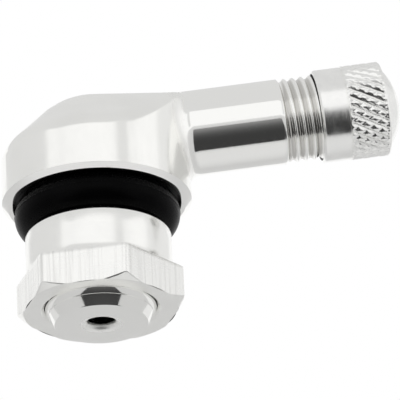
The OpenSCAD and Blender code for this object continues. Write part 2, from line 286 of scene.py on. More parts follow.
def round_either(a, b, r):
    """Inside either shape, with a fillet between them."""
    return np.maximum(r, np.minimum(a, b)) - np.hypot(np.maximum(r - a, 0), np.maximum(r - b, 0))


def outside_head(p):
    """Negative inside the head and the stem, positive outside, on an array of points."""
    x, y, z = p[..., 0], p[..., 1], p[..., 2]
    radius = np.hypot(x, y)
    across = np.where(x < 0, radius, np.abs(y))
    roof = (across - CROWN_HALF) * math.sin(ROOF_SLOPE) + (z - CROWN_EDGE_Z) * math.cos(ROOF_SLOPE)
    crown = np.hypot(np.minimum(across, CROWN_REACH), z - HEAD_TOP + CROWN_R) - CROWN_R
    head = round_both(radius - HEAD_R, round_both(roof, crown, CROWN_ROUND), WALL_ROOF_ROUND)
    from_foot = p - STEM_FOOT
    s = from_foot @ STEM_AXIS
    off_axis = np.linalg.norm(from_foot - s[..., None] * STEM_AXIS, axis=-1)
    rise = (from_foot @ STEM_TOP) / np.maximum(off_axis, TINY)
    fillet = ROOT_FILLET + (ROOT_FILLET_TOP - ROOT_FILLET) * smooth(*FILLET_FADE, rise)
    return round_either(head, np.maximum(off_axis - STEM_R, -s), fillet)


def head_directions(level, turn):
    """Directions on circles from the stem's axis to the stud's. Turn zero goes over the crown and back."""
    pole = STEM_AXIS[0] / (1 - STEM_AXIS[2])
    plane = pole / (1 - np.exp(level - 1j * turn))
    size = np.abs(plane) ** 2
    return np.stack([2 * plane.real, 2 * plane.imag, size - 1], axis=-1) / (size + 1)[..., None]


def cast(directions):
    """Where rays from the stem's foot leave the head or the stem."""
    near = np.zeros(directions.shape[:-1])
    far = np.full(directions.shape[:-1], RAY_LENGTH)
    for _ in range(RAY_HALVINGS):
        middle = (near + far) / 2
        inside = outside_head(STEM_FOOT + middle[..., None] * directions) < 0
        near = np.where(inside, middle, near)
        far = np.where(inside, far, middle)
    return STEM_FOOT + near[..., None] * directions


def level_at(value, wanted, first):
    """Level at which a falling value passes the wanted one, for the first or the last time."""
    above = value > wanted
    k = int(np.argmin(above)) if first else len(HEAD_LEVELS) - int(np.argmax(above[::-1]))
    t = (value[k - 1] - wanted) / (value[k - 1] - value[k])
    return HEAD_LEVELS[k - 1] + t * (HEAD_LEVELS[k] - HEAD_LEVELS[k - 1])


def head_rings():
    """Rings from the stem down to the wall's foot, evenly spaced along each column."""
    even = even_turns(ELBOW_COLUMNS)
    turn = even - COLUMN_CROWDING * np.sin(even)
    every_turn = np.broadcast_to(turn, (len(HEAD_LEVELS), ELBOW_COLUMNS))
    points = cast(head_directions(HEAD_LEVELS[:, None], every_turn))
    s = (points - STEM_FOOT) @ STEM_AXIS
    chosen = np.empty((HEAD_ROWS, ELBOW_COLUMNS))
    for c in range(ELBOW_COLUMNS):
        start = level_at(s[:, c], HEAD_START_S, True)
        end = level_at(points[:, c, 2], HEAD_END_Z, False)
        fine = np.linspace(start, end, PATH_STEPS)
        path = np.stack([np.interp(fine, HEAD_LEVELS, points[:, c, k]) for k in range(3)], axis=1)
        length = np.concatenate([[0], np.cumsum(np.linalg.norm(np.diff(path, axis=0), axis=1))])
        chosen[:, c] = np.interp(np.linspace(0, length[-1], HEAD_ROWS), length, fine)
    return cast(head_directions(chosen, np.broadcast_to(turn, chosen.shape)))


def recess_rings(turn):
    """Rings over the rim's bevel and flat seat into the recess of the seal."""
    bevel_end_r = HEAD_R - RIM_BEVEL_WIDTH
    profile = (
        (HEAD_R, RIM_BEVEL_HEIGHT), (bevel_end_r + 0.04, 0.022), (bevel_end_r, 0.005),
        (bevel_end_r - 0.03, 0), (RECESS_R + 0.1, 0), (RECESS_R + 0.03, 0.015), (RECESS_R, 0.07),
        (RECESS_R, 0.5), (RECESS_R, RECESS_DEPTH - 0.06), (RECESS_R - 0.06, RECESS_DEPTH),
        (STUD_CREST_R + 0.6, RECESS_DEPTH), (STUD_ROOT_R + 0.08, RECESS_DEPTH))
    return turned_rings(stud_ring, profile, turn)


def stud_rings(turn):
    """Rings down the stud's thread, over its stepped end and up into the air hole."""
    inner_z = STUD_END_Z + STUD_INNER_HEIGHT
    chamfer_top = inner_z + STUD_OUTER_HEIGHT
    rings = []
    for z in np.arange(RECESS_DEPTH - 0.08, chamfer_top + 0.3, -PITCH_STUD / STUD_ROWS_PER_TURN):
        fade = smooth(RECESS_DEPTH, RECESS_DEPTH - STUD_FADE, z)
        rings.append(stud_ring(z, thread_radius(z, turn, PITCH_STUD, STUD_ROOT_R, STUD_CREST_R, fade), turn))
    profile = (
        (STUD_CREST_R, chamfer_top + 0.16), (STUD_CREST_R, chamfer_top + 0.02),
        (STUD_CREST_R - 0.02, chamfer_top - 0.02), (STUD_RING_R + 0.02, inner_z + 0.04),
        (STUD_RING_R - 0.01, inner_z + 0.005), (STUD_STEP_R + 0.015, inner_z),
        (STUD_STEP_R - 0.01, inner_z - 0.03), (STUD_FACE_R + 0.03, STUD_END_Z + 0.05),
        (STUD_FACE_R, STUD_END_Z + 0.008), (STUD_FACE_R - 0.06, STUD_END_Z),
        (STUD_FACE_ROW_R, STUD_END_Z), (AIR_HOLE_R + AIR_EDGE_R + 0.1, STUD_END_Z))
    rings += turned_rings(stud_ring, profile, turn)
    for angle in np.radians(np.linspace(0, 90, AIR_EDGE_ROWS)):
        z = STUD_END_Z + AIR_EDGE_R * (1 - math.cos(angle))
        rings.append(stud_ring(z, AIR_HOLE_R + AIR_EDGE_R * (1 - math.sin(angle)), turn))
    for z in np.linspace(STUD_END_Z + 1, BEND_START_Z, AIR_HOLE_ROWS):
        rings.append(stud_ring(z, AIR_HOLE_R, turn))
    return rings


def bend_rings(stud_turn, stem_turn):
    """Rings of the air passage as it bends from the stud's axis to the stem's."""
    below = np.array([0, 0, BEND_START_Z])
    beyond = STEM_FOOT + BEND_END_S * STEM_AXIS
    rings = []
    for t in np.linspace(0, 1, BEND_STEPS)[1:-1]:
        centre = (1 - t) ** 2 * below + 2 * t * (1 - t) * STEM_FOOT + t ** 2 * beyond
        lean = (1 - t) * math.pi / 2 + t * STEM_TILT
        top = np.array([-math.sin(lean), 0, math.cos(lean)])
        turn = np.unwrap(stud_turn) * (1 - t) + np.unwrap(stem_turn) * t
        r = AIR_HOLE_R + t * (PASSAGE_R - AIR_HOLE_R)
        rings.append(centre + r * (np.cos(turn)[:, None] * top + np.sin(turn)[:, None] * STEM_SIDE))
    return rings


def stem_rings(turn):
    """Rings along the stem's bore, over its mouth, and back along its thread to the plain stem."""
    mouth_r = THREAD_CREST_R - MOUTH_CHAMFER
    bore = (
        (PASSAGE_R, BEND_END_S), (PASSAGE_R, SEAT_END_S), (CORE_BORE_R, SEAT_TOP_S),
        (CORE_BORE_R, STEM_END_S - BORE_CHAMFER), (CORE_BORE_R + 0.17, STEM_END_S - 0.03),
        (CORE_BORE_R + 0.22, STEM_END_S), (mouth_r - 0.03, STEM_END_S), (mouth_r + 0.01, STEM_END_S - 0.03))
    rings = turned_rings(stem_ring, bore, turn)
    covered = np.arange(STEM_END_S - 0.1, CAP_MOUTH_S + 0.3, -PITCH_STEM / COVERED_ROWS_PER_TURN)
    open_part = np.arange(CAP_MOUTH_S + 0.28, THREAD_START_S + 0.1, -PITCH_STEM / OPEN_ROWS_PER_TURN)
    for s in np.concatenate([covered, open_part]):
        after_start = smooth(THREAD_START_S, THREAD_START_S + STEM_FADE, s)
        fade = after_start * smooth(STEM_END_S - 0.05, STEM_END_S - 0.5, s)
        r = thread_radius(s + THREAD_SHIFT, turn, PITCH_STEM, THREAD_ROOT_R, THREAD_CREST_R, fade)
        rings.append(stem_ring(s, r, turn))
    thread_start = (
        (THREAD_ROOT_R + 0.06, THREAD_START_S + 0.08), (STEM_R - THREAD_EDGE, THREAD_START_S),
        (STEM_R - 0.11, THREAD_START_S - 0.03), (STEM_R - 0.02, THREAD_START_S - 0.11),
        (STEM_R, THREAD_START_S - THREAD_EDGE), (STEM_R, THREAD_START_S - 0.5))
    rings += turned_rings(stem_ring, thread_start, turn)
    for s in np.linspace(THREAD_START_S - 1.2, PLAIN_STEM_END_S, PLAIN_STEM_ROWS):
        rings.append(stem_ring(s, STEM_R, turn))
    return rings


def elbow_rings():
    """Rings over the head, round the stud, through the air passage and back along the stem."""
    head = head_rings()
    from_foot = head[0] - STEM_FOOT
    stem_turn = np.arctan2(from_foot @ STEM_SIDE, from_foot @ STEM_TOP)
    stud_turn = np.arctan2(-head[-1][:, 1], -head[-1][:, 0])
    rings = list(head) + recess_rings(stud_turn) + stud_rings(stud_turn)
    return rings + bend_rings(stud_turn, stem_turn) + stem_rings(stem_turn)


# Nut

def nut_turns():
    """Angles round the nut, closest together where the corners are trimmed."""
    half = np.concatenate([np.linspace(0, FLAT_SPREAD, FLAT_COLUMNS), CORNER_TURNS])
    sector = np.concatenate([[-HALF_SECTOR], -half[:0:-1], half])
    return np.radians(np.concatenate([sector + HEX_FLAT_TURN + 2 * HALF_SECTOR * k for k in range(6)]))


def hex_radius(turn, z):
    """Radius of the hexagon with trimmed corners and an end chamfer, its edges a little rounded."""
    off_flat = np.radians((np.degrees(turn) - HEX_FLAT_TURN + HALF_SECTOR) % (2 * HALF_SECTOR) - HALF_SECTOR)
    chamfer_r = HEX_FACE_R + (z - NUT_END_Z) / math.tan(HEX_CHAMFER)
    options = np.stack([HEX_HALF / np.cos(off_flat), np.full(turn.shape, HEX_CORNER_R),
                        np.full(turn.shape, chamfer_r)])
    least = options.min(axis=0)
    return least - HEX_SOFT * np.log(np.exp((least - options) / HEX_SOFT).sum(axis=0))


def nut_rings():
    """Rings over the collar, the hexagon and the nut's end, and back through the threaded bore."""
    turn = nut_turns()
    sink_r = NUT_BORE_R + COUNTERSINK
    chamfer_z = NUT_TOP_Z - COLLAR_CHAMFER
    collar = (
        (sink_r, NUT_TOP_Z), (COLLAR_R - COLLAR_CHAMFER - 0.04, NUT_TOP_Z),
        (COLLAR_R - COLLAR_CHAMFER + 0.03, NUT_TOP_Z - 0.03), (COLLAR_R - 0.03, chamfer_z + 0.03),
        (COLLAR_R, chamfer_z - 0.05), (COLLAR_R, NUT_TOP_Z - 1.5), (COLLAR_R, HEX_TOP_Z + 0.6),
        (COLLAR_R, HEX_TOP_Z + 0.05), (COLLAR_R + 0.02, HEX_TOP_Z + 0.01), (COLLAR_R + 0.06, HEX_TOP_Z))
    rings = turned_rings(axis_ring, collar, turn)
    for inset, drop in ((0.05, 0.0), (0.015, 0.015), (0.0, 0.05)):
        rings.append(axis_ring(HEX_TOP_Z - drop, hex_radius(turn, HEX_TOP_Z) - inset, turn))
    flat_rows = np.linspace(HEX_TOP_Z - 0.4, NUT_END_Z + 0.95, FLAT_ROWS)
    chamfer_rows = np.linspace(NUT_END_Z + 0.85, NUT_END_Z, CHAMFER_ROWS)
    for z in np.concatenate([flat_rows, chamfer_rows]):
        rings.append(axis_ring(z, hex_radius(turn, z), turn))
    end = (
        (HEX_FACE_R - 0.15, NUT_END_Z), (sink_r + 0.1, NUT_END_Z), (sink_r + 0.02, NUT_END_Z + 0.01),
        (sink_r - 0.02, NUT_END_Z + 0.04), (NUT_BORE_R + 0.02, NUT_END_Z + COUNTERSINK))
    rings += turned_rings(axis_ring, end, turn)
    low, high = NUT_END_Z + COUNTERSINK, NUT_TOP_Z - COUNTERSINK
    for z in np.arange(low + 0.1, high, PITCH_STUD / NUT_ROWS_PER_TURN):
        fade = smooth(low, NUT_END_Z + STUD_FADE, z) * smooth(high, NUT_TOP_Z - STUD_FADE, z)
        rings.append(axis_ring(z, thread_radius(z, turn, PITCH_STUD, NUT_BORE_R, NUT_THREAD_R, fade), turn))
    rings.append(axis_ring(high, NUT_BORE_R + 0.02, turn))
    return rings


# Seal

def seal_rings():
    """Rings down the seal's bore and up its half-round face, which has a fine moulding seam."""
    turn = even_turns(SEAL_COLUMNS)
    centre_r, centre_z = SEAL_ROUND_C
    low, high = centre_z - SEAL_ROUND_R, centre_z + SEAL_ROUND_R
    bore = (
        (SEAL_INNER_R, high - SEAL_EDGE), (SEAL_INNER_R, low + SEAL_EDGE),
        (SEAL_INNER_R + 0.03, low + 0.03), (SEAL_INNER_R + SEAL_EDGE, low))
    rings = turned_rings(axis_ring, bore, turn)
    for angle in np.radians(np.linspace(-90, 90, SEAL_ROWS)):
        seam = SEAM_HEIGHT * math.exp(-(angle / SEAM_ANGLE) ** 2)
        r = centre_r + (SEAL_ROUND_R + seam) * math.cos(angle)
        rings.append(axis_ring(centre_z + SEAL_ROUND_R * math.sin(angle), r, turn))
    top = ((SEAL_INNER_R + SEAL_EDGE, high), (SEAL_INNER_R + 0.03, high - 0.03))
    return rings + turned_rings(axis_ring, top, turn)


# Dust cap

def groove(count):
    """One in the middle of a groove and zero on the ridges, for a count that grows by one per groove."""
    away = np.abs(count - np.round(count))
    return np.clip(1 - away / KNURL_WIDTH, 0, 1) ** KNURL_POWER


def grip_radius(s, turn):
    """Knurled grip band: strong grooves one way and shallower ones the other way."""
    round_count = KNURL_COUNT * turn / (2 * np.pi)
    along = (s - GRIP_START_S) / KNURL_LEAD
    cut = np.maximum(groove(round_count - along), KNURL_CROSS * groove(round_count + along))
    ends = smooth(GRIP_START_S, GRIP_START_S + 0.22, s) * smooth(GRIP_END_S - 0.1, GRIP_END_S - 0.3, s)
    edge = GRIP_EDGE * smooth(GRIP_END_S - 0.14, GRIP_END_S, s)
    return GRIP_R - KNURL_DEPTH * cut * ends - edge


def cap_rings():
    """Rings from the bore's end over mouth, sleeve, grip and dome, and the middle points of both ends."""
    turn = even_turns(KNURL_COUNT * COLUMNS_PER_KNURL)
    bevel_r = SLEEVE_R - CAP_BEVEL
    sleeve = (
        (CAP_END_ROW_R, CAP_BORE_END_S), (CAP_BORE_R - 0.05, CAP_BORE_END_S),
        (CAP_BORE_R, CAP_BORE_END_S - 0.05), (CAP_BORE_R, CAP_MOUTH_S + 0.2),
        (CAP_BORE_R + 0.04, CAP_MOUTH_S + 0.03), (CAP_BORE_R + 0.06, CAP_MOUTH_S),
        (bevel_r + 0.02, CAP_MOUTH_S), (bevel_r + 0.07, CAP_MOUTH_S + 0.03),
        (SLEEVE_R - 0.02, CAP_MOUTH_S + CAP_BEVEL - 0.05), (SLEEVE_R, CAP_MOUTH_S + CAP_BEVEL),
        (SLEEVE_R, CAP_MOUTH_S + 0.6), (SLEEVE_R, GRIP_START_S - 0.5), (SLEEVE_R, GRIP_START_S - 0.1),
        (SLEEVE_R - 0.03, GRIP_START_S - 0.06), (SLEEVE_R - 0.03, GRIP_START_S - 0.03))
    rings = turned_rings(stem_ring, sleeve, turn)
    for s in np.linspace(GRIP_START_S, GRIP_END_S, GRIP_ROWS):
        rings.append(stem_ring(s, grip_radius(s, turn), turn))
    shoulder = ((GRIP_R - 0.15, GRIP_END_S), (DOME_BASE_R + 0.03, GRIP_END_S))
    rings += turned_rings(stem_ring, shoulder, turn)
    dome_r = (DOME_BASE_R ** 2 + DOME_HEIGHT ** 2) / (2 * DOME_HEIGHT)
    dome_centre_s = GRIP_END_S + DOME_HEIGHT - dome_r
    spread = math.asin(DOME_BASE_R / dome_r)
    for angle in np.linspace(spread * 0.995, spread * 0.03, DOME_ROWS):
        rings.append(stem_ring(dome_centre_s + dome_r * math.cos(angle), dome_r * math.sin(angle), turn))
    inner = STEM_FOOT + CAP_BORE_END_S * STEM_AXIS
    tip = STEM_FOOT + (GRIP_END_S + DOME_HEIGHT) * STEM_AXIS
    return rings, inner, tip


# Core spring

def spring_rings():
    """Rings of a round wire on a coil with close end turns, and the middle points of both ends."""
    turns = np.linspace(0, SPRING_TURNS, SPRING_STEPS)
    low, high = SPRING_END_S + SPRING_WIRE_R, SPRING_TOP_S - SPRING_WIRE_R
    dead = SPRING_DEAD_TURNS * DEAD_TURN_RISE * SPRING_WIRE_R
    turn_marks = [0, SPRING_DEAD_TURNS, SPRING_TURNS - SPRING_DEAD_TURNS, SPRING_TURNS]
    s = np.interp(turns, turn_marks, [low, low + dead, high - dead, high])
    angle = 2 * np.pi * turns
    out = np.cos(angle)[:, None] * STEM_TOP + np.sin(angle)[:, None] * STEM_SIDE
    middle = STEM_FOOT + s[:, None] * STEM_AXIS + SPRING_R * out
    around = even_turns(WIRE_COLUMNS)
    section = np.cos(around)[None, :, None] * out[:, None] + np.sin(around)[None, :, None] * STEM_AXIS
    return middle[:, None] + SPRING_WIRE_R * section, middle[0], middle[-1]


# Materials

SATIN_DARK = (0.93, 0.928, 0.904)
SATIN_LIGHT = (0.96, 0.958, 0.934)
POLISHED = (0.95, 0.948, 0.927)
# Painted highlight on the rim's bevel and seat, paler than the head's satin
RIM_PAINTED_HIGHLIGHT = (0.97, 0.968, 0.95)
# Painted shade in the grooves of the stem's thread
GROOVE_PAINTED_SHADE = (0.6, 0.59, 0.565)
# Painted shade in the recess round the seal
RECESS_PAINTED_SHADE = (0.1, 0.1, 0.1)
# Painted shade in the cap's bore and on the inner edge of its mouth
BORE_PAINTED_SHADE = (0.05, 0.05, 0.05)
NUT_DARK = (0.935, 0.933, 0.912)
NUT_LIGHT = (0.965, 0.963, 0.94)
FLAT_PALE = (0.965, 0.963, 0.942)
STREAK_DARK = (0.82, 0.818, 0.8)

STEM_ROUGH = 0.08
HEAD_ROUGH = 0.18
ROOT_DULLER = 0.12
HOLE_DULLER = 0.35
THREAD_DULLER = 0.08
RECESS_DULLER = 0.4
RIM_GLOSSIER = 0.1
SCRATCH_ROUGH = 0.02
FLAT_DULLER = 0.04
RUBBER_SPECULAR = 0.035

CLOUD_SCALE = 0.4
CLOUD_SHARE = 0.45
LINES_SHARE = 0.55
CLOUD_DETAIL = 4.0
LINES_DETAIL = 5.0
LINES_ROUGH = 0.65
HEAD_CLOUD_SCALE = 260
SCRATCH_SCALE = 2500
NUT_CLOUD_SCALE = 500
BRUSH_SCALE = 3400
TURNING_SCALE = 5000
RUBBER_CLOUD_SCALE = 350
RUBBER_GRAIN_SCALE = 6000
PAPER_SCALE = 40

BRUSH_BUMP = 1.4
TURNING_BUMP = 0.08
ROOT_X = (5.5, 7.0)
STUD_TO_HEAD_Z = (-1.0, -0.5)
UPRIGHT_LIMITS = (0.2, 0.4)
STREAK_LIMITS = (0.3, 0.56)
NUT_ROUGH = (0.19, 0.25)
RUBBER_TONE_LIMITS = (0.35, 0.68)

# Depths of fine relief, in metres
SCRATCH_RELIEF = 0.4e-6
NUT_RELIEF = 2e-6
CAP_RELIEF = 7e-6
BRASS_RELIEF = 2e-6
WIRE_RELIEF = 1e-6
SEAL_RELIEF = 2e-6
INNER_RELIEF = 3e-6
GASKET_RELIEF = 2e-6


class Wires:
    """Short calls for wiring shader nodes."""

    def __init__(self, tree):
        self.tree = tree
        tree.nodes.clear()

    def node(self, kind, **settings):
        made = self.tree.nodes.new(kind)
        for key, value in settings.items():
            setattr(made, key, value)
        return made

    def put(self, value, socket):
        if isinstance(value, bpy.types.NodeSocket):
            self.tree.links.new(value, socket)
        else:
            socket.default_value = value

    def math(self, operation, a, b=0.0):
        made = self.node("ShaderNodeMath", operation=operation)
        self.put(a, made.inputs[0])
        self.put(b, made.inputs[1])
        return made.outputs[0]

    def plus(self, total, *terms):
        for term in terms:
            total = self.math("ADD", total, term)
        return total

    def times(self, product, *factors):
        for factor in factors:
            product = self.math("MULTIPLY", product, factor)
        return product

    def ramp(self, value, low, high, to_low, to_high):
        """Goes smoothly from to_low, where the value is low, to to_high, where it is high."""
        made = self.node("ShaderNodeMapRange", interpolation_type="SMOOTHSTEP")
        for k, setting in enumerate((value, low, high, to_low, to_high)):
            self.put(setting, made.inputs[k])
        return made.outputs[0]

    def rise(self, value, low, high):
        """Zero at low and one at high, which are in millimetres."""
        return self.ramp(value, low * MM, high * MM, 0.0, 1.0)

    def fall(self, value, low, high):
        """One at low and zero at high, which are in millimetres."""
        return self.ramp(value, low * MM, high * MM, 1.0, 0.0)

    def vary(self, noise, to_low=0.0, to_high=1.0):
        """Stretches the middle range of a noise to the two values."""
        return self.ramp(noise, 0.3, 0.7, to_low, to_high)

    def noise(self, vector, scale, detail=3.0, rough=0.55):
        made = self.node("ShaderNodeTexNoise")
        self.put(vector, made.inputs["Vector"])
        made.inputs["Scale"].default_value = scale
        made.inputs["Detail"].default_value = detail
        made.inputs["Roughness"].default_value = rough
        return made.outputs["Fac"]

    def point(self):
        """Object coordinates of the shaded point."""
        return self.node("ShaderNodeTexCoord").outputs["Object"]

    def place(self, stretch=(1, 1, 1), turn=(0, 0, 0)):
        """Object coordinates, turned and stretched."""
        made = self.node("ShaderNodeMapping")
        self.put(self.point(), made.inputs["Vector"])
        made.inputs["Scale"].default_value = stretch
        made.inputs["Rotation"].default_value = turn
        return made.outputs[0]

    def colour(self, factor, dark, light):
        made = self.node("ShaderNodeMix", data_type="RGBA")
        self.put(factor, made.inputs["Factor"])
        self.put(dark if isinstance(dark, bpy.types.NodeSocket) else (*dark, 1), made.inputs[6])
        self.put(light if isinstance(light, bpy.types.NodeSocket) else (*light, 1), made.inputs[7])
        return made.outputs[2]

    def axes(self):
        """Object coordinates of the shaded point, one by one."""
        made = self.node("ShaderNodeSeparateXYZ")
        self.put(self.point(), made.inputs[0])
        return made.outputs

    def axis_distance(self):
        """Distance of the shaded point from the upright axis."""
        x, y, _ = self.axes()
        return self.math("SQRT", self.plus(self.times(x, x), self.times(y, y)))

    def stem_distance(self):
        """Distance of the shaded point from the stem's axis."""
        across = self.node("ShaderNodeVectorMath", operation="CROSS_PRODUCT")
        from_foot = self.node("ShaderNodeVectorMath", operation="SUBTRACT")
        self.put(self.point(), from_foot.inputs[0])
        self.put((STEM_FOOT * MM).tolist(), from_foot.inputs[1])
        self.put(from_foot.outputs[0], across.inputs[0])
        self.put(STEM_AXIS.tolist(), across.inputs[1])
        length = self.node("ShaderNodeVectorMath", operation="LENGTH")
        self.put(across.outputs[0], length.inputs[0])
        return length.outputs["Value"]


def new_material(name):
    material = bpy.data.materials.new(name)
    material.use_nodes = True
    w = Wires(material.node_tree)
    shader = w.node("ShaderNodeBsdfPrincipled")
    out = w.node("ShaderNodeOutputMaterial")
    w.put(shader.outputs[0], out.inputs["Surface"])
    return material, w, shader


def new_metal(name):
    material, w, shader = new_material(name)
    shader.inputs["Metallic"].default_value = 1.0
    return material, w, shader


def add_relief(w, shader, height, depth):
    """Fine relief that follows a noise."""
    bump = w.node("ShaderNodeBump")
    bump.inputs["Strength"].default_value = 1.0
    bump.inputs["Distance"].default_value = depth
    w.put(height, bump.inputs["Height"])
    w.put(bump.outputs[0], shader.inputs["Normal"])


def metal(name, dark, light, rough, scale, relief, brush=(1, 1, 1), brush_turn=(0, 0, 0), painted_shade_within=0.0):
    """Bare metal: colour and roughness follow a cloudy noise and a brushed one, with lines in fine relief.

    Inside the given distance from the stem's axis, up to the cap's dome, the metal is darkened with painted
    shade."""
    material, w, shader = new_metal(name)
    cloud = w.noise(w.place(), scale * CLOUD_SCALE, CLOUD_DETAIL)
    lines = w.noise(w.place(brush, brush_turn), scale, LINES_DETAIL, LINES_ROUGH)
    both = w.plus(w.times(cloud, CLOUD_SHARE), w.times(lines, LINES_SHARE))
    tone = w.colour(w.vary(both), dark, light)
    # Painted shade on the bore and the mouth's inner edge, standing in for the shadow in the gap at the cap's
    # mouth
    if painted_shade_within:
        before_dome = w.fall(w.axes()[0], CAP_BORE_END_S - 0.6, CAP_BORE_END_S - 0.3)
        inside = w.times(w.fall(w.stem_distance(), painted_shade_within - 0.02, painted_shade_within), before_dome)
        tone = w.colour(inside, tone, BORE_PAINTED_SHADE)
    w.put(tone, shader.inputs["Base Color"])
    w.put(w.vary(both, *rough), shader.inputs["Roughness"])
    add_relief(w, shader, lines, relief)
    return material


def elbow_metal(name):
    """Bare metal, satin on the head and polished on stem and stud.

    It is duller at the stem's root, on the stem's thread and round the air hole, and duller in the recess.
    Painted shade darkens the recess and the thread's grooves, and a paler painted highlight with more gloss
    lies on the rim."""
    material, w, shader = new_metal(name)
    x, _, z = w.axes()
    from_stem = w.stem_distance()
    from_axis = w.axis_distance()
    cloud = w.noise(w.place(), HEAD_CLOUD_SCALE)
    scratches = w.noise(w.place((1, 1, 0.3)), SCRATCH_SCALE, 2.0)

    off_stem = w.rise(from_stem, STEM_R + 0.06, STEM_R + 0.4)
    on_head = w.times(off_stem, w.rise(z, *STUD_TO_HEAD_Z))
    at_root = w.times(off_stem, w.fall(from_stem, STEM_R + 0.7, STEM_R + 1.8), w.rise(x, *ROOT_X))
    on_thread = w.rise(x, THREAD_START_S - 0.3, THREAD_START_S)
    # Painted shade: the stem thread's grooves are darkened in colour
    groove_shade_mask = w.times(on_thread, w.fall(from_stem, THREAD_ROOT_R, THREAD_CREST_R - 0.05))
    over_seat = w.times(w.rise(z, 0.02, 0.08), w.fall(z, RECESS_DEPTH + 0.05, RECESS_DEPTH + 0.1))
    in_recess = w.times(w.fall(from_axis, RECESS_R + 0.02, RECESS_R + 0.05), over_seat)
    below_wall = w.fall(z, RIM_BEVEL_HEIGHT - 0.02, RIM_BEVEL_HEIGHT)
    on_rim = w.times(w.rise(from_axis, RECESS_R - 0.02, RECESS_R), below_wall)
    hole_rim_r = AIR_HOLE_R + AIR_EDGE_R
    near_end = w.fall(z, STUD_END_Z + 0.5, STUD_END_Z + 0.7)
    at_hole = w.times(w.fall(from_axis, hole_rim_r, hole_rim_r + 0.1), near_end)

    satin = w.colour(w.vary(cloud), SATIN_DARK, SATIN_LIGHT)
    plain = w.colour(on_head, POLISHED, satin)
    # Painted highlight: the rim is paler in colour than the rest of the head
    with_rim_highlight = w.colour(on_rim, plain, RIM_PAINTED_HIGHLIGHT)
    with_groove_shade = w.colour(groove_shade_mask, with_rim_highlight, GROOVE_PAINTED_SHADE)
    # Painted shade: the recess round the seal is darkened in colour
    w.put(w.colour(in_recess, with_groove_shade, RECESS_PAINTED_SHADE), shader.inputs["Base Color"])

    rough = w.vary(scratches, -SCRATCH_ROUGH, SCRATCH_ROUGH)
    rough = w.plus(rough, w.ramp(on_head, 0.0, 1.0, STEM_ROUGH, HEAD_ROUGH))
    for where, change in ((at_root, ROOT_DULLER), (at_hole, HOLE_DULLER), (on_thread, THREAD_DULLER),
                          (on_rim, -RIM_GLOSSIER), (in_recess, RECESS_DULLER)):
        rough = w.plus(rough, w.times(where, change))
    w.put(rough, shader.inputs["Roughness"])
    add_relief(w, shader, scratches, SCRATCH_RELIEF)
    return material


def nut_metal(name):
    """Bare metal with fine turning lines, and upright brush lines on the flats of the hexagon."""
    material, w, shader = new_metal(name)
    facing = w.node("ShaderNodeSeparateXYZ")
    w.put(w.node("ShaderNodeNewGeometry").outputs["True Normal"], facing.inputs[0])
    upright = w.ramp(w.math("ABSOLUTE", facing.outputs["Z"]), *UPRIGHT_LIMITS, 1.0, 0.0)
    on_flat = w.times(upright, w.fall(w.axes()[2], HEX_TOP_Z - 0.05, HEX_TOP_Z + 0.02))
    brush = w.noise(w.place((1, 1, 0.02)), BRUSH_SCALE, LINES_DETAIL, LINES_ROUGH)
    turning = w.noise(w.place((0.04, 0.04, 1)), TURNING_SCALE)
    cloud = w.noise(w.place(), NUT_CLOUD_SCALE, CLOUD_DETAIL)
    streaks = w.times(on_flat, w.ramp(brush, *STREAK_LIMITS, 1.0, 0.0))
    plain = w.colour(w.vary(cloud), NUT_DARK, NUT_LIGHT)
    pale = w.colour(on_flat, plain, FLAT_PALE)
    w.put(w.colour(streaks, pale, STREAK_DARK), shader.inputs["Base Color"])
    rough = w.vary(w.plus(w.times(cloud, 0.5), w.times(turning, 0.5)), *NUT_ROUGH)
    w.put(w.plus(rough, w.times(on_flat, FLAT_DULLER)), shader.inputs["Roughness"])
    lines = w.plus(w.times(brush, on_flat, BRUSH_BUMP), w.times(turning, TURNING_BUMP))
    add_relief(w, shader, lines, NUT_RELIEF)
    return material


def rubber(name, dark, light, rough, relief):
    """Rubber or plastic with a cloudy tone and a fine grain."""
    material, w, shader = new_material(name)
    cloud = w.noise(w.place(), RUBBER_CLOUD_SCALE)
    grain = w.noise(w.place(), RUBBER_GRAIN_SCALE, CLOUD_DETAIL)
    w.put(w.colour(w.ramp(cloud, *RUBBER_TONE_LIMITS, 0.0, 1.0), dark, light), shader.inputs["Base Color"])
    w.put(w.vary(grain, *rough), shader.inputs["Roughness"])
    shader.inputs["Specular IOR Level"].default_value = RUBBER_SPECULAR
    add_relief(w, shader, grain, relief)
    return material


ALONG_STEM = (0, STEM_TILT, 0)
body_metal = elbow_metal("elbow_satin_and_polished")
nut_brushed = nut_metal("nut_turned_and_brushed")
cap_metal = metal("cap_turned", (0.9, 0.899, 0.885), (0.98, 0.978, 0.958), (0.12, 0.28), 2400, CAP_RELIEF,
                  brush=(3, 0.8, 0.8), brush_turn=ALONG_STEM, painted_shade_within=CAP_BORE_R + 0.1)
brass = metal("core_turned_brass", (0.62, 0.45, 0.19), (0.78, 0.6, 0.3), (0.18, 0.32), 2500, BRASS_RELIEF,
              brush=(4, 0.6, 0.6), brush_turn=ALONG_STEM)
wire = metal("spring_drawn_wire", (0.5, 0.5, 0.52), (0.66, 0.66, 0.68), (0.2, 0.34), 4000, WIRE_RELIEF)
seal_black = rubber("seal_black", (0.001, 0.001, 0.0011), (0.002, 0.002, 0.0022), (0.24, 0.34), SEAL_RELIEF)
soft_black = rubber("inner_black", (0.02, 0.02, 0.02), (0.035, 0.035, 0.035), (0.5, 0.65), INNER_RELIEF)
gasket_white = rubber("gasket_pale", (0.78, 0.77, 0.73), (0.88, 0.87, 0.84), (0.4, 0.55), GASKET_RELIEF)

# Pieces

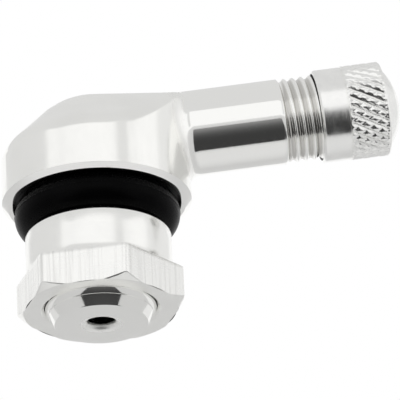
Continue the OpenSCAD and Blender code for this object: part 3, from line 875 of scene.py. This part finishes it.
elbow = make_piece("elbow", elbow_rings(), body_metal)
nut = make_piece("nut", nut_rings(), nut_brushed)
seal = make_piece("seal", seal_rings(), seal_black)
cap_points, cap_inner, cap_tip = cap_rings()
cap = make_piece("cap", cap_points, cap_metal, cap_inner, cap_tip)
spring_points, spring_low, spring_high = spring_rings()
spring = make_piece("spring", spring_points, wire, spring_low, spring_high)

for piece, body, node, slot in (
        (elbow, "body", "elbow_body", "elbow_aluminium"),
        (nut, "nut", "flange_nut", "nut_aluminium"),
        (seal, "seal", "seal_ring", "seal_rubber"),
        (cap, "cap", "cap_shell", "cap_aluminium"),
        (spring, "body", "core_spring", "spring_steel")):
    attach(piece, body)
    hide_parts(node)

for node, material in (
        ("core_plug", brass), ("core_barrel", brass), ("core_pin", brass), ("core_cup", brass),
        ("core_gasket", gasket_white), ("core_seal", soft_black), ("cap_liner", soft_black)):
    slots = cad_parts[node].data.materials
    slots.clear()
    slots.append(material)

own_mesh(spring)

# Floor, white surroundings, and the glowing cards of a small studio that the metal mirrors, in metres

FLOOR_Z = -0.26
FLOOR_HALF = 2.5
PAPER_DARK = 0.73
PAPER_LIGHT = 0.77
# Painted pool of light on the floor under the part, and where it fades out
PAPER_PAINTED_LIGHT = 0.94
PAINTED_LIGHT_FADE = (0.1, 0.4)
PAPER_ROUGH = 0.9
CEILING_Z = 1.0
CEILING_HALF = 1.35
CEILING_LEVEL = 0.725
WALL_X = 1.2
WALL_BACK_Y = 1.6
LEFT_FRONT_Y = -0.72
LEFT_LEVELS = (0.735, 1.0)
LEFT_FADE = (0.5, 0.75)
RIGHT_FRONT_Y = -0.2
RIGHT_LEVEL = 0.83
STRIP_START = (0.5, -1.1)
STRIP_END = (0.75, -0.95)
STRIP_LEVEL = 0.755
TABLE_Z = -0.25
TABLE_HALF = 0.25
TABLE_NEAR_Y = -0.07
TABLE_FAR_Y = -1.0
TABLE_LEVELS = (0.045, 0.26)
TABLE_FADE = (0.2, 0.95)


def grey(level):
    return (level, level, level)


def stage_sheet(name, corners):
    """A flat sheet that isn't part of the object, with a material of its own."""
    mesh = bpy.data.meshes.new(name)
    mesh.from_pydata(corners, [], [(0, 1, 2, 3)])
    material, w, shader = new_material(name)
    mesh.materials.append(material)
    sheet = bpy.data.objects.new(name, mesh)
    bpy.context.scene.collection.objects.link(sheet)
    return sheet, w, shader


def level_corners(z, x_range, y_range):
    (x0, x1), (y0, y1) = x_range, y_range
    return [(x0, y0, z), (x1, y0, z), (x1, y1, z), (x0, y1, z)]


def upright_corners(start, end, z_range):
    (x0, y0), (x1, y1), (low, high) = start, end, z_range
    return [(x0, y0, low), (x1, y1, low), (x1, y1, high), (x0, y0, high)]


def studio_card(name, corners, near, far, fade=(0.0, 1.0)):
    """A softly glowing grey card out of the camera's sight. Its level goes from near to far along -Y."""
    card, w, shader = stage_sheet(name, corners)
    forward = w.times(w.axes()[1], -1.0)
    glow = w.colour(w.ramp(forward, *fade, 0.0, 1.0), grey(near), grey(far))
    w.put(glow, shader.inputs["Emission Color"])
    shader.inputs["Emission Strength"].default_value = 1.0
    shader.inputs["Base Color"].default_value = (0, 0, 0, 1)
    shader.inputs["Specular IOR Level"].default_value = 0.0
    card.visible_camera = False


floor_span = (-FLOOR_HALF, FLOOR_HALF)
_, floor_wires, floor_shader = stage_sheet("floor", level_corners(FLOOR_Z, floor_span, floor_span))
paper_noise = floor_wires.noise(floor_wires.place(), PAPER_SCALE)
paper = floor_wires.colour(paper_noise, grey(PAPER_DARK), grey(PAPER_LIGHT))
# Painted light: the floor is paler under the part, fading with distance from its axis
painted_light_pool = floor_wires.ramp(floor_wires.axis_distance(), *PAINTED_LIGHT_FADE, 1.0, 0.0)
floor_colour = floor_wires.colour(painted_light_pool, paper, grey(PAPER_PAINTED_LIGHT))
floor_wires.put(floor_colour, floor_shader.inputs["Base Color"])
floor_shader.inputs["Roughness"].default_value = PAPER_ROUGH

ceiling_span = (-CEILING_HALF, CEILING_HALF)
wall_heights = (FLOOR_Z, CEILING_Z)
ceiling_corners = level_corners(CEILING_Z, ceiling_span, ceiling_span)
left_corners = upright_corners((-WALL_X, LEFT_FRONT_Y), (-WALL_X, WALL_BACK_Y), wall_heights)
right_corners = upright_corners((WALL_X, RIGHT_FRONT_Y), (WALL_X, WALL_BACK_Y), wall_heights)
strip_corners = upright_corners(STRIP_START, STRIP_END, (0.0, CEILING_Z))
table_corners = level_corners(TABLE_Z, (-TABLE_HALF, TABLE_HALF), (TABLE_FAR_Y, TABLE_NEAR_Y))
studio_card("ceiling", ceiling_corners, CEILING_LEVEL, CEILING_LEVEL)
studio_card("left_wall", left_corners, *LEFT_LEVELS, LEFT_FADE)
studio_card("right_wall", right_corners, RIGHT_LEVEL, RIGHT_LEVEL)
studio_card("front_strip", strip_corners, STRIP_LEVEL, STRIP_LEVEL)
studio_card("dark_table", table_corners, *TABLE_LEVELS, TABLE_FADE)

world = bpy.data.worlds.new("studio")
bpy.context.scene.world = world
world.use_nodes = True
world_wires = Wires(world.node_tree)
background = world_wires.node("ShaderNodeBackground")
background.inputs["Color"].default_value = (1, 1, 1, 1)
background.inputs["Strength"].default_value = 1.0
world_out = world_wires.node("ShaderNodeOutputWorld")
world_wires.put(background.outputs[0], world_out.inputs["Surface"])

# Camera, fitted to the photograph, its offset in millimetres

AZIMUTH = math.radians(3.37)
ELEVATION = math.radians(25.3)
ROLL = math.radians(-2.64)
OFFSET = np.array([-9.27, 0.56, 500.0])
FOCAL_PIXELS = 5550.0
IMAGE_PIXELS = 400.0

forward = np.array([math.sin(AZIMUTH) * math.cos(ELEVATION),
                    math.cos(AZIMUTH) * math.cos(ELEVATION),
                    math.sin(ELEVATION)])
right = np.array([math.cos(AZIMUTH), -math.sin(AZIMUTH), 0.0])
down = np.cross(forward, right)
spin = np.array([[math.cos(ROLL), -math.sin(ROLL), 0], [math.sin(ROLL), math.cos(ROLL), 0], [0, 0, 1]])
view_axes = spin @ np.stack([right, down, forward])
camera_place = -view_axes.T @ OFFSET * MM
lens = bpy.data.cameras.new("camera")
lens.sensor_width = 36.0
lens.lens = FOCAL_PIXELS * lens.sensor_width / IMAGE_PIXELS
lens.clip_start = 0.01
lens.clip_end = 20.0
camera = bpy.data.objects.new("camera", lens)
camera_axes = np.stack([view_axes[0], -view_axes[1], -view_axes[2]], axis=1)
camera.matrix_world = Matrix.Translation(Vector(camera_place)) @ Matrix(camera_axes.tolist()).to_4x4()
bpy.context.scene.collection.objects.link(camera)
bpy.context.scene.camera = camera

bpy.context.scene.view_settings.view_transform = "Standard"
